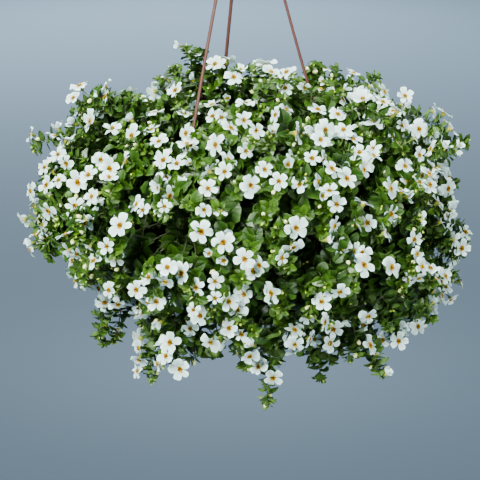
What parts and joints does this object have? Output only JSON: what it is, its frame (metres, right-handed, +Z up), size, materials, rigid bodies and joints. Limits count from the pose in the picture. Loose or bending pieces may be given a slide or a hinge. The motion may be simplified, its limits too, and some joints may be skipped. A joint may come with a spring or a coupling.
{
  "type": "bacopa hanging basket",
  "caption": "Hanging plastic pot on a three-legged hanger with a hook, planted with a wide mound of trailing bacopa in white flower.",
  "frame": {"origin": "the point inside the top of the hook where it bears on the bracket or rail that carries it; the pot's axis runs straight down from there", "axes": "+Z up along the pot's axis, +X to the viewer's right and +Y away from the viewer, with the hook's opening to the left"},
  "size_m": [0.4623, 0.4626, 0.561],
  "materials": {
    "terracotta_plastic": "satin",
    "potting_mix": "matte",
    "foliage": "satin",
    "stems": "satin",
    "petals": "matte",
    "buds": "matte"
  },
  "bodies": {
    "root": {"hanger_hook": "terracotta_plastic", "hanger_leg_front_left": "terracotta_plastic", "hanger_leg_rear_left": "terracotta_plastic", "hanger_leg_right": "terracotta_plastic", "plant_1_shoot_01": "foliage", "plant_1_shoot_02": "foliage", "plant_1_shoot_03": "foliage", "plant_1_shoot_04": "foliage", "plant_1_shoot_05": "foliage", "plant_1_shoot_06": "foliage", "plant_1_shoot_07": "foliage", "plant_1_shoot_08": "foliage", "plant_1_shoot_09": "foliage", "plant_1_shoot_10": "foliage", "plant_1_shoot_11": "foliage", "plant_1_shoot_12": "foliage", "plant_1_shoot_13": "foliage", "plant_1_shoot_14": "foliage", "plant_1_shoot_15": "foliage", "plant_1_shoot_16": "foliage", "plant_1_shoot_17": "foliage", "plant_2_shoot_01": "foliage", "plant_2_shoot_02": "foliage", "plant_2_shoot_03": "foliage", "plant_2_shoot_04": "foliage", "plant_2_shoot_05": "foliage", "plant_2_shoot_06": "foliage", "plant_2_shoot_07": "foliage", "plant_2_shoot_08": "foliage", "plant_2_shoot_09": "foliage", "plant_2_shoot_10": "foliage", "plant_2_shoot_11": "foliage", "plant_2_shoot_12": "foliage", "plant_2_shoot_13": "foliage", "plant_2_shoot_14": "foliage", "plant_2_shoot_15": "foliage", "plant_2_shoot_16": "foliage", "plant_2_shoot_17": "foliage", "plant_3_shoot_01": "foliage", "plant_3_shoot_02": "foliage", "plant_3_shoot_03": "foliage", "plant_3_shoot_04": "foliage", "plant_3_shoot_05": "foliage", "plant_3_shoot_06": "foliage", "plant_3_shoot_07": "foliage", "plant_3_shoot_08": "foliage", "plant_3_shoot_09": "foliage", "plant_3_shoot_10": "foliage", "plant_3_shoot_11": "foliage", "plant_3_shoot_12": "foliage", "plant_3_shoot_13": "foliage", "plant_3_shoot_14": "foliage", "plant_3_shoot_15": "foliage", "plant_3_shoot_16": "foliage", "pot": "terracotta_plastic", "soil": "potting_mix"}
  },
  "joints": []
}
